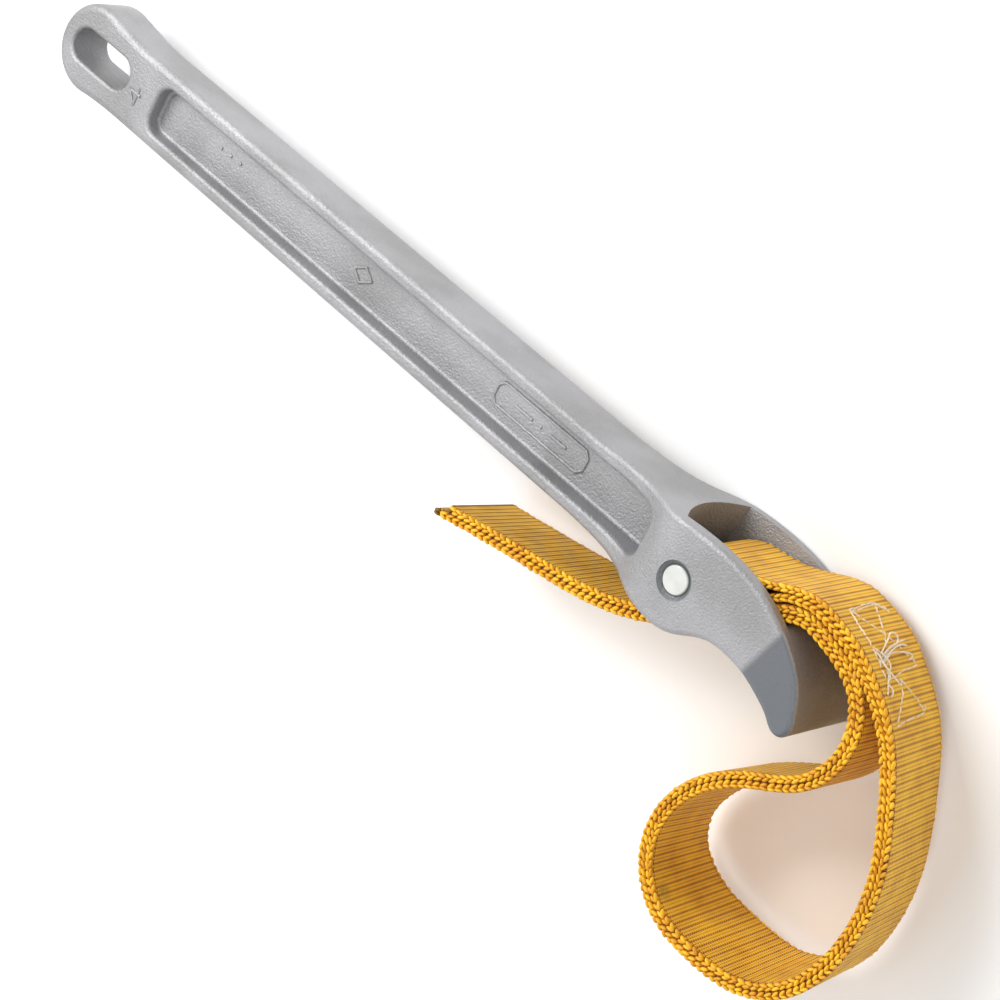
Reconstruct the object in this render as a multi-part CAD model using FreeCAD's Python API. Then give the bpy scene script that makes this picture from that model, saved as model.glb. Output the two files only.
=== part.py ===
import FreeCAD, Part
import math
import os

V = FreeCAD.Vector

# Strap wrench lying on its side. It is drawn with the pin's axis on Z at x = y = 0 and
# the casting's parting plane at z = 0, then set down with its lower cheek on z = 0.
# +X runs along the handle from the hanging eye to the nose, +Y is the handle's back.

# Casting, millimetres
LENGTH = 300.5          # hanging eye to nose tip
NOSE_REACH = 46.0       # pin axis to nose tip
BAR_LOW = -9.6          # handle's lower edge
BAR_HIGH = 11.6         # handle's upper edge
EYE_SPREAD = 0.6        # each edge stands this much further out at the eye end
EYE_RADIUS = 12.8
EYE_LIFT = 1.6          # eye centre above the pin axis
BAR_HALF_EYE = 7.3      # half thickness at the eye
BAR_HALF_NECK = 8.9     # half thickness where the head begins to flare
NECK_X = -33.0          # start of the flare
SHOULDER_X = -4.0       # end of the flare
CHEEK = 3.55            # wall of each fork cheek
EDGE_ROUND = 1.4        # cast radius of the head's outer edges
EYE_ROUND = 2.3         # the same at the eye, easing down along the handle
MOUTH_ROUND = 1.2       # cast radius where a recess or the slot opens
NOSE_ROUND = 1.6        # where the strap runs over the nose
LIP_TURN = 75.0         # from the passage's wall down to the nose, degrees
EYE_ARC_END = 82.0      # where the eye's arc gives way to the neck, degrees from +X
SLOT_LENGTH = 23.4      # hanging slot, end to end
SLOT_WIDTH = 9.5
SLOT_END_WALL = 5.5     # metal left outside the slot
PANEL_WEB = 5.8         # thickness left between the two panels
PANEL_RIM = 3.7         # rim left beside each panel
PANEL_START = 41.0      # hang end to panel
PANEL_END_X = -14.6
PANEL_CORNER = 4.0
PANEL_FLOOR_ROUND = 1.0

# Pin
PIN_DIAMETER = 7.94
PIN_INSET = 0.5         # each end below the cheek's face
PIN_CHAMFER = 0.5
PIN_PRESS = 0.01        # the bore is this much smaller in radius
SINK_RADIUS = 5.1       # countersink at each end of the bore
SINK_DEPTH = 1.1

# Strap
STRAP_WIDTH = 27.0
PLY = 2.1
PLY_GAP = 0.1           # between the two plies of the doubled strap
LAY_GAP = 0.3           # between the strap and what it passes
SIDE_GAP = 0.7          # strap edge to cheek
FOLD_GAP = 0.25         # strap to pin
LEAD_ANGLE = 38.5       # slope of the passage under the pin, degrees
NOSE_GAP = 1.0          # strap to the nose wall under it
LEG_END = 28.5          # along the passage from the pin to where the legs close up
LEG_GAP = 0.35          # between each leg and the ply that carries it on
LOOP_END = 20.0         # along the passage from the pin to where the loop gives way to the tail
TAIL_END = 0.5          # gap between the loop's end and the sliding tail
BEND_SAG = 0.3          # the strap's dip at the bend over the nose

# Box stitch
STITCH_PROUD = 0.45
THREAD_GAP = 0.02       # thread to webbing
STITCH_LINE = 1.0
STITCH_WIDTH = 17.0
STITCH_LENGTH = 29.0
STITCH_START = 12.0     # from the loop's start

PIN_RADIUS = PIN_DIAMETER / 2
FORK_HALF = STRAP_WIDTH / 2 + SIDE_GAP
HEAD_HALF = FORK_HALF + CHEEK
PAIR = 2 * PLY + PLY_GAP
FOLD_MID = PIN_RADIUS + FOLD_GAP + PLY / 2
LEAD_N = FOLD_MID + PLY / 2 + LAY_GAP + PAIR / 2
OUT_N = LEAD_N - PAIR - LAY_GAP
WALL_N = LEAD_N + PAIR / 2 + NOSE_GAP
HANG_X = NOSE_REACH - LENGTH
EYE_X = HANG_X + EYE_RADIUS
BAR_START_X = EYE_X + 21.0
BAR_END_X = NECK_X - 10.0
LEAD = math.radians(LEAD_ANGLE)


def channel(along, across):
    """Point from its place along and across the passage under the pin."""
    return V(
        along * math.cos(LEAD) - across * math.sin(LEAD),
        along * math.sin(LEAD) + across * math.cos(LEAD),
        0,
    )


def vector(p):
    return V(*p) if isinstance(p, tuple) else p


def spline(points, start=None, end=None):
    """Smooth curve through the points, leaving and arriving along the given directions."""
    curve = Part.BSplineCurve()
    points = [vector(p) for p in points]
    if start is None:
        curve.interpolate(points)
    else:
        curve.interpolate(Points=points, InitialTangent=start, FinalTangent=end)
    return curve


def edge(a, b):
    return Part.LineSegment(vector(a), vector(b)).toShape()


def slab(face, half):
    """Face in the XY plane made into a solid from -half to +half in Z."""
    lowered = face.copy()
    lowered.translate(V(0, 0, -half))
    return lowered.extrude(V(0, 0, 2 * half))


def side_outline():
    """Casting seen along the pin: hanging eye, bar, shoulders, cheek, nose hook and lobe."""
    high, low, lift, tip = BAR_HIGH, BAR_LOW, EYE_LIFT, NOSE_REACH
    neck, waist = BAR_START_X, BAR_END_X
    turn = math.radians(EYE_ARC_END)
    reach_x, reach_y = EYE_RADIUS * math.cos(turn), EYE_RADIUS * math.sin(turn)
    top = V(EYE_X + reach_x, lift + reach_y, 0)
    bottom = V(EYE_X + reach_x, lift - reach_y, 0)
    down = V(math.sin(turn), -math.cos(turn), 0)
    up = V(-math.sin(turn), -math.cos(turn), 0)
    head = [
        (waist, high, 0), (-32.0, high + 0.5, 0), (-17.0, 12.9, 0), (-5.0, 14.1, 0), (6.0, 14.5, 0),
        (14.0, 13.9, 0), (22.0, 12.1, 0), (29.0, 9.2, 0), (36.0, 4.9, 0), (tip - 4.1, -0.8, 0),
        (tip - 0.9, -7.2, 0), (tip - 0.1, -11.2, 0), (tip - 1.7, -13.6, 0), (tip - 4.4, -13.9, 0),
        (tip - 7.6, -11.9, 0), (33.5, -9.4, 0), (28.0, -7.4, 0), (21.5, -6.5, 0), (15.5, -6.9, 0),
        (10.5, -9.2, 0), (5.6, -12.0, 0), (0.0, -13.2, 0), (-7.0, -12.5, 0), (-18.0, -11.0, 0),
        (-32.0, low - 0.4, 0), (waist, low, 0),
    ]
    edges = [
        Part.Arc(top, V(HANG_X, lift, 0), bottom).toShape(),
        spline([top, (neck, high + EYE_SPREAD, 0)], down * 10, V(10, 0, 0)).toShape(),
        edge((neck, high + EYE_SPREAD, 0), (waist, high, 0)),
        spline(head, V(1, 0, 0), V(-1, 0, 0)).toShape(),
        edge((waist, low, 0), (neck, low - EYE_SPREAD, 0)),
        spline([(neck, low - EYE_SPREAD, 0), bottom], V(-10, 0, 0), up * 10).toShape(),
    ]
    return Part.Face(Part.Wire(Part.sortEdges(edges)[0]))


def top_outline():
    """Head seen along Y: it flares from the bar's thickness to the fork's width."""
    nose = NOSE_REACH + 5
    span = SHOULDER_X - NECK_X
    grow = HEAD_HALF - BAR_HALF_NECK

    def side(sign):
        flare = [
            (NECK_X, 0, sign * BAR_HALF_NECK),
            (NECK_X + 0.5 * span, 0, sign * (BAR_HALF_NECK + 0.36 * grow)),
            (SHOULDER_X, 0, sign * HEAD_HALF),
        ]
        return [
            edge((BAR_END_X, 0, sign * BAR_HALF_NECK), flare[0]),
            spline(flare, V(span, 0, 0), V(span, 0, 0)).toShape(),
            edge(flare[-1], (nose, 0, sign * HEAD_HALF)),
        ]

    ends = [
        edge((BAR_END_X, 0, -BAR_HALF_NECK), (BAR_END_X, 0, BAR_HALF_NECK)),
        edge((nose, 0, -HEAD_HALF), (nose, 0, HEAD_HALF)),
    ]
    return Part.Face(Part.Wire(Part.sortEdges(side(1) + side(-1) + ends)[0]))


def bar_section(x, half, spread, r):
    """Outline of the bar across X, with its cast corners."""
    block = Part.makeBox(1, BAR_HIGH - BAR_LOW + 2 * spread, 2 * half, V(x, BAR_LOW - spread, -half))
    block = block.makeFillet(r, [e for e in block.Edges if e.BoundBox.XLength > 0.5])
    ends = [f for f in block.Faces if f.BoundBox.XLength < 1e-6 and abs(f.BoundBox.XMin - x) < 1e-6]
    return ends[0].OuterWire


def rounded(body, radius):
    """The body with its long outer edges rounded, but not the cuts across X."""
    rims = []
    for e in body.Edges:
        t = e.tangentAt((e.FirstParameter + e.LastParameter) / 2)
        if abs(t.z) < 0.9 and e.BoundBox.XLength > 1e-4:
            rims.append(e)
    return body.makeFillet(radius, rims)


def casting_blank():
    """Eye, tapered bar and flared head in one, before any recess or hole."""
    outline = side_outline()
    tall = 4 * HEAD_HALF
    eye = slab(outline, BAR_HALF_EYE)
    eye = eye.common(Part.makeBox(BAR_START_X - HANG_X + 5, tall, tall, V(HANG_X - 5, -tall / 2, -tall / 2)))
    flat = top_outline()
    flat.translate(V(0, -tall / 2, 0))
    head = slab(outline, HEAD_HALF).common(flat.extrude(V(0, tall, 0)))
    first = bar_section(BAR_START_X, BAR_HALF_EYE, EYE_SPREAD, EYE_ROUND)
    last = bar_section(BAR_END_X, BAR_HALF_NECK, 0, EDGE_ROUND)
    bar = Part.makeLoft([first, last], True, True)
    parts = [rounded(eye.removeSplitter(), EYE_ROUND), bar, rounded(head.removeSplitter(), EDGE_ROUND)]
    return parts[0].multiFuse(parts[1:]).removeSplitter()


def fork_passage():
    """Way through the head for the strap: open above, under the pin and out below."""
    mouth = NOSE_REACH + 5
    root_top = -5.4
    belly = 4.2
    wall = [
        Part.Arc(V(root_top, 30, FORK_HALF), V(root_top - belly, 30, 0), V(root_top, 30, -FORK_HALF)).toShape(),
        edge((root_top, 30, -FORK_HALF), (mouth, 30, -FORK_HALF)),
        edge((mouth, 30, -FORK_HALF), (mouth, 30, FORK_HALF)),
        edge((mouth, 30, FORK_HALF), (root_top, 30, FORK_HALF)),
    ]
    well = Part.Face(Part.Wire(Part.sortEdges(wall)[0])).extrude(V(-6.0, -60, 0))
    return well.common(slab(above_wall(), HEAD_HALF))


def above_wall():
    """Everything over the wall under the strap, with the wall's lip rounded over the nose."""
    heel = channel(2.5, -WALL_N)
    lip = edge(heel, heel + channel(60, 0)).distToShape(side_outline().OuterWire)[1][0][0]
    fall = LEAD - math.radians(LIP_TURN)
    start = lip - channel(NOSE_ROUND, 0)
    end = lip + V(math.cos(fall), math.sin(fall), 0) * NOSE_ROUND
    middle = (start + end) * 0.35 + lip * 0.3
    out = end + V(math.cos(fall + 0.35), math.sin(fall + 0.35), 0) * 40
    low, high, left = -40, 40, -60
    edges = [
        edge((left, high, 0), (left, low, 0)),
        edge((left, low, 0), (heel.x, low, 0)),
        edge((heel.x, low, 0), heel),
        edge(heel, start),
        Part.Arc(start, middle, end).toShape(),
        edge(end, out),
        edge(out, (out.x, high, 0)),
        edge((out.x, high, 0), (left, high, 0)),
    ]
    return Part.Face(Part.Wire(edges))


def panel(sign):
    """Long recess between the rims, on one face of the bar."""
    start = HANG_X + PANEL_START
    low = BAR_LOW + PANEL_RIM
    high = BAR_HIGH - PANEL_RIM
    box = Part.makeBox(PANEL_END_X - start, high - low, 40, V(start, low, PANEL_WEB / 2))
    upright = [e for e in box.Edges if abs(e.tangentAt(e.FirstParameter).z) > 0.9]
    box = box.makeFillet(PANEL_CORNER, upright)
    floor = [e for e in box.Edges if abs(e.BoundBox.ZMax - PANEL_WEB / 2) < 1e-6]
    box = box.makeFillet(PANEL_FLOOR_ROUND, floor)
    if sign < 0:
        box = box.mirror(V(0, 0, 0), V(0, 0, 1))
    return box


def hang_slot():
    r = SLOT_WIDTH / 2
    left = HANG_X + SLOT_END_WALL + r
    right = HANG_X + SLOT_END_WALL + SLOT_LENGTH - r
    low, high = EYE_LIFT - 0.2 - r, EYE_LIFT - 0.2 + r
    edges = [
        edge((left, high, 0), (right, high, 0)),
        Part.Arc(V(right, high, 0), V(right + r, (low + high) / 2, 0), V(right, low, 0)).toShape(),
        edge((right, low, 0), (left, low, 0)),
        Part.Arc(V(left, low, 0), V(left - r, (low + high) / 2, 0), V(left, high, 0)).toShape(),
    ]
    return slab(Part.Face(Part.Wire(edges)), HEAD_HALF)


def pin_bore():
    bore = Part.makeCylinder(PIN_RADIUS - PIN_PRESS, 2 * HEAD_HALF, V(0, 0, -HEAD_HALF))
    for sign in (1, -1):
        sink = Part.makeCone(
            PIN_RADIUS, SINK_RADIUS, SINK_DEPTH, V(0, 0, sign * (HEAD_HALF - SINK_DEPTH)), V(0, 0, sign)
        )
        bore = bore.fuse(sink)
    return bore


def inside(shape_edge, x, y, top):
    """True where an edge lies within the x and y spans and beyond z = top on either side."""
    box = shape_edge.BoundBox
    t = shape_edge.tangentAt((shape_edge.FirstParameter + shape_edge.LastParameter) / 2)
    held = x[0] < box.XMin and box.XMax < x[1] and y[0] < box.YMin and box.YMax < y[1]
    return held and abs(t.z) < 0.9 and abs(shape_edge.CenterOfMass.z) > top


def handle_casting():
    body = casting_blank().cut(fork_passage())
    for sign in (1, -1):
        body = body.cut(panel(sign))
    x = (HANG_X + PANEL_START - 0.1, PANEL_END_X + 0.1)
    y = (BAR_LOW + PANEL_RIM - 0.1, BAR_HIGH - PANEL_RIM + 0.1)
    mouths = [e for e in body.Edges if inside(e, x, y, BAR_HALF_EYE - 0.5)]
    body = body.makeFillet(MOUTH_ROUND, mouths).cut(hang_slot())
    x = (HANG_X + SLOT_END_WALL - 0.1, HANG_X + SLOT_END_WALL + SLOT_LENGTH + 0.1)
    y = (EYE_LIFT - SLOT_WIDTH / 2 - 0.4, EYE_LIFT + SLOT_WIDTH / 2 + 0.1)
    rims = [e for e in body.Edges if inside(e, x, y, BAR_HALF_EYE - 0.1)]
    return body.makeFillet(MOUTH_ROUND, rims).cut(pin_bore()).removeSplitter()


def pin():
    length = 2 * (HEAD_HALF - PIN_INSET)
    shank = Part.makeCylinder(PIN_RADIUS, length, V(0, 0, -length / 2))
    rims = [e for e in shank.Edges if len(e.Vertexes) == 1]
    return shank.makeChamfer(PIN_CHAMFER, rims)


def offset_points(points, distance, count, start=None, end=None):
    """Points at a distance to the left of the smooth curve through the given points."""
    curve = spline(points, start, end)
    first, last = curve.FirstParameter, curve.LastParameter
    moved = []
    for i in range(count):
        u = first + (last - first) * i / (count - 1)
        t = curve.tangent(u)[0]
        moved.append(curve.value(u) + V(-t.y, t.x, 0) * distance)
    return moved


def ribbon(points, right, left, width, count=48, start=None, end=None):
    """Webbing of the given width along Z between two offsets of a path."""
    a = offset_points(points, left, count, start, end)
    b = offset_points(points, right, count, start, end)
    edges = [spline(a).toShape(), edge(a[-1], b[-1]), spline(b).toShape(), edge(b[0], a[0])]
    face = Part.Face(Part.Wire(Part.sortEdges(edges)[0]))
    return slab(face, width / 2)


def lead_path():
    """Middle of the doubled strap where it comes back in over the nose, outermost point first."""
    over_nose = [(52.6, 6.6, 0), (48.3, 9.2, 0), (43.8, 10.7, 0), (38.0, 11.95, 0), (33.0, 12.4, 0)]
    return over_nose + [channel(LEG_END - 0.5, -LEAD_N - BEND_SAG), channel(LOOP_END, -LEAD_N)]


def loop_path():
    """Middle of the doubled strap from the head, clockwise round the loop, back to the head."""
    lead = lead_path()
    over = offset_points(lead[:-2], -(PAIR + LAY_GAP), 7)
    ring = [
        (67.0, 2.6, 0), (74.8, -8.4, 0), (80.0, -18.0, 0), (84.4, -30.5, 0), (85.2, -42.0, 0),
        (82.8, -54.5, 0), (76.6, -67.2, 0), (66.0, -74.6, 0), (52.5, -76.6, 0), (39.0, -74.4, 0),
        (30.0, -66.8, 0), (26.3, -55.0, 0), (28.4, -44.6, 0), (34.0, -36.0, 0), (43.8, -28.2, 0),
        (53.2, -21.2, 0), (58.0, -12.0, 0), (57.6, -1.2, 0),
    ]
    return [channel(LEG_END, -OUT_N)] + over[:0:-1] + ring + lead


def tail_path():
    """Middle of the doubled tail, from the mouth under the pin and out behind the head."""
    inside = [channel(s, -LEAD_N) for s in (LOOP_END - TAIL_END, 10.0, 0.0, -8.0)]
    free = [(-16.6, -19.4), (-26.2, -21.9), (-36.2, -23.7), (-46.4, -25.5), (-56.6, -27.4), (-67.2, -29.6)]
    return inside + [V(x, y, 0) for x, y in free]


def strap_fold():
    """The webbing's middle: one leg under the pin, the fold behind it, one leg over it."""
    r = FOLD_MID
    high_end = PLY + PLY_GAP - r
    legs = LEG_END - LEG_GAP
    under = [(legs, -r), (20.0, -r), (12.0, -r), (5.0, -r)]
    turn = [(0.3, -r), (-0.68 * r, -0.74 * r), (-r, 0.05 * r), (-0.62 * r, 0.84 * r), (0.5, 1.16 * r)]
    over = [(6.5, 1.1 * r), (13.5, 0.42 * r), (20.5, high_end + 0.39 * r), (legs, high_end)]
    path = [channel(s, n) for s, n in under + turn + over]
    return ribbon(path, -PLY / 2, PLY / 2, STRAP_WIDTH, 48, channel(-1, 0), channel(1, 0))


def box_stitching(path):
    """Box and cross of thread standing on the loop's outer ply."""
    low = PAIR / 2 + THREAD_GAP
    curve = spline(path)
    first = curve.parameterAtDistance(STITCH_START, curve.FirstParameter)
    last = curve.parameterAtDistance(STITCH_START + STITCH_LENGTH, curve.FirstParameter)
    steps = 6
    run = [curve.value(first + (last - first) * i / steps) for i in range(steps + 1)]
    skin = ribbon(run, low, low + STITCH_PROUD, STITCH_WIDTH, 13)
    a, b = run[0], run[-1]
    chord = b - a
    length = chord.Length
    half = STITCH_WIDTH / 2
    w = STITCH_LINE
    bars = [Part.makeBox(w, 60, 2 * half, V(0, -30, -half))]
    bars.append(Part.makeBox(w, 60, 2 * half, V(length - w, -30, -half)))
    bars.append(Part.makeBox(length, 60, w, V(0, -30, -half)))
    bars.append(Part.makeBox(length, 60, w, V(0, -30, half - w)))
    lean = math.degrees(math.atan2(2 * half - w, length - w))
    reach = math.hypot(length, 2 * half)
    for sign in (1, -1):
        bar = Part.makeBox(reach, 60, w, V(-reach / 2, -30, -w / 2))
        bar.rotate(V(0, 0, 0), V(0, 1, 0), sign * lean)
        bar.translate(V(length / 2, 0, 0))
        bars.append(bar)
    grid = bars[0].multiFuse(bars[1:])
    grid.rotate(V(0, 0, 0), V(0, 0, 1), math.degrees(math.atan2(chord.y, chord.x)))
    grid.translate(a)
    return skin.common(grid).removeSplitter()


def build():
    loop = loop_path()
    tail = tail_path()
    inner, outer = PLY_GAP / 2, PAIR / 2
    return {
        "handle_casting": handle_casting(),
        "anchor_pin": pin(),
        "strap_fold": strap_fold(),
        "loop_outer_ply": ribbon(loop, inner, outer, STRAP_WIDTH, 90),
        "loop_inner_ply": ribbon(loop, -outer, -inner, STRAP_WIDTH, 90),
        "tail_lower_ply": ribbon(tail, inner, outer, STRAP_WIDTH, 40),
        "tail_upper_ply": ribbon(tail, -outer, -inner, STRAP_WIDTH, 40),
        "box_stitching": box_stitching(loop),
    }


def main():
    os.makedirs("parts", exist_ok=True)
    solids = build()
    whole = FreeCAD.BoundBox()
    for shape in solids.values():
        whole.add(shape.optimalBoundingBox())
    down = V(-(whole.XMin + whole.XMax) / 2, -(whole.YMin + whole.YMax) / 2, -whole.ZMin)
    for name, shape in solids.items():
        shape = shape.Solids[0] if len(shape.Solids) == 1 else shape
        shape.translate(down)
        shape.exportStep("parts/" + name + ".step")
        print(name, shape.ShapeType, shape.isValid(), len(shape.Solids), round(shape.Volume, 1))
    print("moved", [round(c, 4) for c in down], "size", whole.XLength, whole.YLength, whole.ZLength)


main()
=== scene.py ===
import bpy
import math
import numpy as np
from mathutils import Matrix, Vector


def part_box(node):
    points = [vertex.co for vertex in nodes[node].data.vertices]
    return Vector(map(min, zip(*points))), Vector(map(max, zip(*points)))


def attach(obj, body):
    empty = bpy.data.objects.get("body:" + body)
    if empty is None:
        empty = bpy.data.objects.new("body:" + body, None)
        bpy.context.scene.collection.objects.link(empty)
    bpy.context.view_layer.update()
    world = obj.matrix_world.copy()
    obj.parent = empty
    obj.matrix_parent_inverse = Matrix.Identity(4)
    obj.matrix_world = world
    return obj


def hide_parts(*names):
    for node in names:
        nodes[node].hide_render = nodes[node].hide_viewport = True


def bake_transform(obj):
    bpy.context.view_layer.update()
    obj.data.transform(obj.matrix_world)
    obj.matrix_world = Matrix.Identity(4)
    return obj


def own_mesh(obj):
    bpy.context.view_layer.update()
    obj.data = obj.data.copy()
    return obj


# Strap wrench lying on a pale table. Sizes in the dictionaries are millimetres, measured
# from the pin's centre unless a note says otherwise, and everything is built in metres.

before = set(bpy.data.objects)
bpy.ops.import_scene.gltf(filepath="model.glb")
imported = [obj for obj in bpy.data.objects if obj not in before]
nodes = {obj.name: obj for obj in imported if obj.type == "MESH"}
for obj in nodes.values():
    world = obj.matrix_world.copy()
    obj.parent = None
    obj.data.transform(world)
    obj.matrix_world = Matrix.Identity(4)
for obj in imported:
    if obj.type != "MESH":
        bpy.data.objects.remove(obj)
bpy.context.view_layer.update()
mm = 0.001
pinCentre = (Vector(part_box("anchor_pin")[0]) + Vector(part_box("anchor_pin")[1])) / 2


def place(x, y, z=0.0):
    return pinCentre + Vector((x, y, z)) * mm


# Node helpers, for shaders and geometry alike

def addNode(tree, kind, feed=None, **settings):
    node = tree.nodes.new(kind)
    for key, value in settings.items():
        setattr(node, key, value)
    for key, value in (feed or {}).items():
        if isinstance(value, bpy.types.NodeSocket):
            tree.links.new(value, node.inputs[key])
        else:
            node.inputs[key].default_value = value
    return node


def calc(tree, operation, a, b=0.0, c=0.0):
    return addNode(tree, "ShaderNodeMath", {0: a, 1: b, 2: c}, operation=operation).outputs[0]


def calcVector(tree, operation, a, b=(0.0, 0.0, 0.0)):
    return addNode(tree, "ShaderNodeVectorMath", {0: a, 1: b}, operation=operation).outputs[0]


def scaled(tree, vector, factor):
    feed = {0: vector, "Scale": factor}
    return addNode(tree, "ShaderNodeVectorMath", feed, operation="SCALE").outputs[0]


def fade(tree, value, low, high, toLow=0.0, toHigh=1.0):
    feed = {"Value": value, "From Min": low, "From Max": high, "To Min": toLow, "To Max": toHigh}
    node = addNode(tree, "ShaderNodeMapRange", feed, interpolation_type="SMOOTHSTEP")
    return node.outputs["Result"]


def blendColour(tree, share, a, b):
    node = addNode(tree, "ShaderNodeMix", data_type="RGBA")
    for key, value in ((0, share), (6, a), (7, b)):
        if isinstance(value, bpy.types.NodeSocket):
            tree.links.new(value, node.inputs[key])
        else:
            node.inputs[key].default_value = (*value, 1.0) if isinstance(value, tuple) else value
    return node.outputs[2]


def newTree(kind, name, inputs, outputs):
    tree = bpy.data.node_groups.new(name, kind)
    for side, sockets in (("INPUT", inputs), ("OUTPUT", outputs)):
        for label, (socketType, value) in sockets.items():
            made = tree.interface.new_socket(name=label, in_out=side, socket_type=socketType)
            if value is not None:
                made.default_value = value
    return tree, tree.nodes.new("NodeGroupInput").outputs, tree.nodes.new("NodeGroupOutput").inputs


def sRgb(red, green, blue):
    def linear(c):
        c /= 255
        return c / 12.92 if c <= 0.04045 else ((c + 0.055) / 1.055) ** 2.4
    return linear(red), linear(green), linear(blue)


# View, light and table

view = {
    "eye": (306.137, 309.273, 658.862),
    "up": (-0.589797, 0.803983, -0.075834),
    "back": (0.447135, 0.403320, 0.798376),
    "lens": 115.2,
    "sensor": 36.0,
    "clip": (0.05, 20.0),    # metres
}
lighting = {
    "skyStrength": 0.56,
    "skyColour": (1.0, 1.0, 1.0),
    # place and aim in metres, width and height in metres, watts
    "lamps": {
        "keyPanel": ((-0.48, 0.34, 0.62), (0.0, 0.0, 0.0), 0.5, 0.5, 6.2),
        "fillPanel": ((0.55, 0.1, 0.75), (0.05, 0.0, 0.0), 0.6, 0.5, 1.6),
        "rimPanel": ((-0.3, -0.6, 0.5), (0.0, 0.0, 0.0), 0.9, 0.25, 1.6),
    },
}
table = {"colour": (0.98, 0.98, 0.98), "roughness": 0.9, "reach": 3.0}


def newMaterial(name):
    material = bpy.data.materials.new(name)
    material.use_nodes = True
    tree = material.node_tree
    tree.nodes.clear()
    shader = addNode(tree, "ShaderNodeBsdfPrincipled")
    addNode(tree, "ShaderNodeOutputMaterial", {"Surface": shader.outputs[0]})
    return material, tree, shader


def buildCamera():
    camera = bpy.data.objects.new("productCamera", bpy.data.cameras.new("productCamera"))
    bpy.context.collection.objects.link(camera)
    back, up = Vector(view["back"]).normalized(), Vector(view["up"]).normalized()
    turn = Matrix((up.cross(back), up, back)).transposed().to_4x4()
    camera.matrix_world = Matrix.Translation(place(*view["eye"])) @ turn
    camera.data.lens = view["lens"]
    camera.data.sensor_width = view["sensor"]
    camera.data.clip_start, camera.data.clip_end = view["clip"]
    bpy.context.scene.camera = camera


def buildLights():
    world = bpy.data.worlds.new("studio")
    world.use_nodes = True
    background = world.node_tree.nodes["Background"]
    background.inputs["Color"].default_value = (*lighting["skyColour"], 1.0)
    background.inputs["Strength"].default_value = lighting["skyStrength"]
    bpy.context.scene.world = world
    for name, (spot, aim, wide, high, watts) in lighting["lamps"].items():
        lamp = bpy.data.lights.new(name, "AREA")
        lamp.shape = "RECTANGLE"
        lamp.size, lamp.size_y, lamp.energy = wide, high, watts
        holder = bpy.data.objects.new(name, lamp)
        holder.location = spot
        holder.rotation_mode = "QUATERNION"
        holder.rotation_quaternion = (Vector(aim) - Vector(spot)).to_track_quat("-Z", "Y")
        bpy.context.collection.objects.link(holder)


def buildTable():
    reach = table["reach"]
    mesh = bpy.data.meshes.new("tableTop")
    corners = [(-reach, -reach, 0), (reach, -reach, 0), (reach, reach, 0), (-reach, reach, 0)]
    mesh.from_pydata(corners, [], [(0, 1, 2, 3)])
    top = bpy.data.objects.new("tableTop", mesh)
    bpy.context.collection.objects.link(top)
    material, tree, shader = newMaterial("tablePaper")
    shader.inputs["Base Color"].default_value = (*table["colour"], 1.0)
    shader.inputs["Roughness"].default_value = table["roughness"]
    mesh.materials.append(material)


buildCamera()
buildLights()
buildTable()
bpy.context.scene.view_settings.view_transform = "Standard"
print("camera, lights and table ready")


# Surface effects shared by several materials

def grainGroup():
    tree, given, result = newTree("ShaderNodeTree", "castGrain", {
        "Position": ("NodeSocketVector", None),
        "Grain Size": ("NodeSocketFloat", 0.8),
        "Unevenness": ("NodeSocketFloat", 30.0),
    }, {"Height": ("NodeSocketFloat", None), "Drift": ("NodeSocketFloat", None)})
    scale = calc(tree, "DIVIDE", 1000.0, given["Grain Size"])
    pebble = addNode(tree, "ShaderNodeTexNoise", {
        "Vector": given["Position"], "Scale": scale, "Detail": 3.0, "Roughness": 0.55}).outputs[0]
    pits = addNode(tree, "ShaderNodeTexVoronoi", {
        "Vector": given["Position"], "Scale": scale}, feature="SMOOTH_F1").outputs["Distance"]
    drift = addNode(tree, "ShaderNodeTexNoise", {
        "Vector": given["Position"], "Scale": given["Unevenness"], "Detail": 2.0}).outputs[0]
    tree.links.new(calc(tree, "MULTIPLY_ADD", pits, 0.35, pebble), result["Height"])
    tree.links.new(drift, result["Drift"])
    return tree


def weaveGroup():
    tree, given, result = newTree("ShaderNodeTree", "wovenRows", {
        "Along": ("NodeSocketFloat", 0.0),
        "Across": ("NodeSocketFloat", 0.0),
        "Row Pitch": ("NodeSocketFloat", 0.00105),
        "Float Pitch": ("NodeSocketFloat", 0.0008),
    }, {"Height": ("NodeSocketFloat", None), "Shade": ("NodeSocketFloat", None)})
    rows = calc(tree, "DIVIDE", given["Along"], given["Row Pitch"])
    row = calc(tree, "ABSOLUTE", calc(tree, "SINE", calc(tree, "MULTIPLY", rows, math.pi)))
    shift = calc(tree, "MULTIPLY", calc(tree, "PINGPONG", calc(tree, "FLOOR", rows), 1.0), 0.5)
    turn = calc(tree, "ADD", calc(tree, "DIVIDE", given["Across"], given["Float Pitch"]), shift)
    warp = calc(tree, "ABSOLUTE", calc(tree, "SINE", calc(tree, "MULTIPLY", turn, math.pi)))
    height = calc(tree, "MULTIPLY", calc(tree, "POWER", warp, 0.5), calc(tree, "POWER", row, 0.6))
    pair = calc(tree, "ABSOLUTE", calc(tree, "SINE", calc(tree, "MULTIPLY", rows, math.pi / 2)))
    narrow = calc(tree, "SUBTRACT", 0.55, calc(tree, "MULTIPLY", calc(tree, "POWER", row, 0.7), 0.55))
    wide = calc(tree, "SUBTRACT", 1.0, calc(tree, "POWER", pair, 0.6))
    groove = calc(tree, "MAXIMUM", narrow, wide)
    dots = calc(tree, "MULTIPLY_ADD", calc(tree, "MULTIPLY", warp, warp), -1.25, 1.4)
    tree.links.new(height, result["Height"])
    tree.links.new(calc(tree, "MULTIPLY", groove, dots), result["Shade"])
    return tree


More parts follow.
